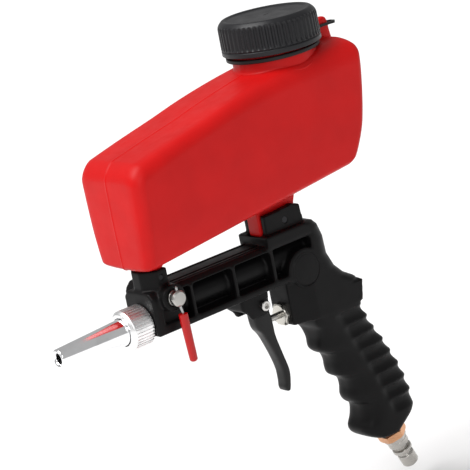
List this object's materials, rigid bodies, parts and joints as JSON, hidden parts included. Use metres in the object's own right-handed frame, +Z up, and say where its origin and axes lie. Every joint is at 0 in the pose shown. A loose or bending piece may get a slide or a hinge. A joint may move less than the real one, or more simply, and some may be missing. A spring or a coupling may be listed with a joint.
{
  "type": "sand blasting gun",
  "caption": "Hand-held sand blasting gun with a hopper on top: the trigger opens the air valve in the grip, and a side lever turns the sand valve.",
  "frame": {"origin": "centre of the nozzle's mouth, on the barrel axis", "axes": "+X back along the barrel from the nozzle to the hand, +Z up towards the hopper's cap, -Y the side with the sand lever"},
  "size_m": [0.2569, 0.0636, 0.3268],
  "materials": {
    "body_plastic": "black glass-filled nylon, semi-matte",
    "hopper_plastic": "red blow-moulded polyethylene, satin gloss",
    "cap_plastic": "black polypropylene",
    "tether_plastic": "black flexible polypropylene",
    "trigger_plastic": "black nylon",
    "nozzle_metal": "polished hard chrome",
    "nut_aluminium": "bright turned aluminium",
    "steel": "turned steel",
    "screw_steel": "bright zinc-plated steel",
    "black_steel": "black oxide steel",
    "nickel": "satin nickel plate",
    "brass": "turned brass",
    "spring_steel": "bright spring steel",
    "rubber": "black nitrile rubber",
    "vinyl": "red dipped vinyl, glossy"
  },
  "bodies": {
    "frame": {"barrel_housing": "body_plastic", "gun_body": "body_plastic", "hand_grip": "body_plastic", "hopper": "hopper_plastic", "cap_tether": "tether_plastic", "hopper_outlet_seal": "rubber", "front_foot_screws": "black_steel", "rear_foot_pin": "black_steel", "air_jet": "brass", "jet_seal": "rubber", "spindle_seals": "rubber", "spindle_grub_screw": "black_steel", "trigger_screw": "screw_steel", "trigger_nut": "screw_steel", "valve_nut": "nickel", "valve_nut_seal": "rubber", "valve_seat": "brass", "valve_spring": "spring_steel", "air_inlet_fitting": "brass", "inlet_seal": "rubber", "air_plug": "nickel"},
    "nozzle": {"blast_nozzle": "nozzle_metal", "nozzle_seal": "rubber"},
    "nut": {"nozzle_nut": "nut_aluminium"},
    "sand_valve": {"sand_valve_spindle": "steel", "lever_wire": "spring_steel", "lever_sleeve": "vinyl"},
    "trigger": {"trigger": "trigger_plastic"},
    "valve": {"valve_pin": "steel", "valve_poppet": "rubber"},
    "cap_seal": {"cap_seal": "rubber"},
    "cap": {"hopper_cap": "cap_plastic"}
  },
  "joints": [
    {"name": "trigger_pull", "type": "hinge", "parent": "frame", "child": "trigger", "pos_m": [0.1485, 0, -0.0167], "axis": [0, -1, 0], "range_deg": [0, 12], "stiffness_Nm_per_rad": 0.4, "springref_deg": -17.19},
    {"name": "valve_stroke", "type": "slide", "parent": "frame", "child": "valve", "axis": [1, 0, 0], "range_m": [0, 0.0029], "deforming": ["valve_spring"]},
    {"name": "sand_lever", "type": "hinge", "parent": "frame", "child": "sand_valve", "pos_m": [0.0775, 0, 0.0143], "axis": [0, -1, 0], "range_deg": [0, 90]},
    {"name": "nozzle_out", "type": "slide", "parent": "frame", "child": "nozzle", "axis": [-1, 0, 0], "range_m": [0, 0.0075]},
    {"name": "nut_turn", "type": "hinge", "parent": "nozzle", "child": "nut", "pos_m": [0.0555, 0, 0], "axis": [-1, 0, 0], "range_deg": [0, 1800.1]},
    {"name": "cap_lift", "type": "slide", "parent": "frame", "child": "cap_seal", "axis": [0, 0, 1], "range_m": [0, 0.006]},
    {"name": "cap_turn", "type": "hinge", "parent": "cap_seal", "child": "cap", "pos_m": [0.2013, 0, 0.146], "axis": [0, 0, 1], "range_deg": [0, 540]}
  ],
  "couplings": [
    {"joint": "valve_stroke", "follows": "trigger_pull", "m_per_rad": 0.0138},
    {"joint": "nut_turn", "follows": "nozzle_out", "rad_per_m": 4188.8},
    {"joint": "cap_lift", "follows": "cap_turn", "m_per_rad": 0.00063662}
  ]
}
